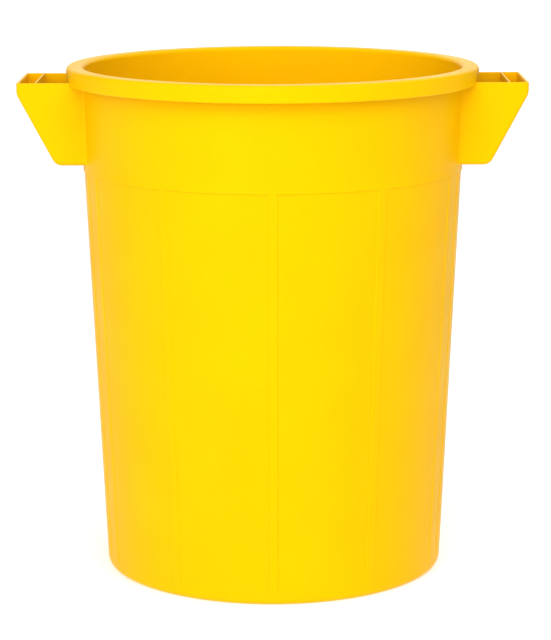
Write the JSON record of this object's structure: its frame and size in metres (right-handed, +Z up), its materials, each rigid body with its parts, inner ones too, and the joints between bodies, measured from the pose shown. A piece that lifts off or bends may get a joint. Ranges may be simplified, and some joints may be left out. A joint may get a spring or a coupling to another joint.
{
  "type": "open-topped round plastic tub",
  "caption": "Tapered round plastic tub, open at the top, with a down-turned rim, a ledge, raised vertical wall ribs and hollow bracket handles on opposite sides.",
  "frame": {"origin": "middle of the base, on the plane that the tub stands on", "axes": "+Z up along the tub's axis to the mouth, +X through the middle of one handle, +Y through the middle rib of the back half"},
  "size_m": [0.592, 0.484, 0.6],
  "materials": {
    "yellow_plastic": "injection-moulded polyolefin, mass-coloured bright yellow, satin sheen with a faint orange peel"
  },
  "bodies": {
    "root": {"base_ring": "yellow_plastic", "floor_pan": "yellow_plastic", "panelled_wall": "yellow_plastic", "upper_band": "yellow_plastic", "rim_band": "yellow_plastic", "handle_right": "yellow_plastic", "handle_left": "yellow_plastic", "handle_web_right": "yellow_plastic", "handle_web_left": "yellow_plastic", "panel_rib_1": "yellow_plastic", "panel_rib_2": "yellow_plastic", "panel_rib_3": "yellow_plastic", "panel_rib_4": "yellow_plastic", "panel_rib_5": "yellow_plastic", "panel_rib_6": "yellow_plastic", "panel_rib_7": "yellow_plastic", "panel_rib_8": "yellow_plastic", "panel_rib_9": "yellow_plastic", "panel_rib_10": "yellow_plastic", "handle_rib_1": "yellow_plastic", "handle_rib_2": "yellow_plastic", "handle_rib_3": "yellow_plastic", "handle_rib_4": "yellow_plastic"}
  },
  "joints": []
}
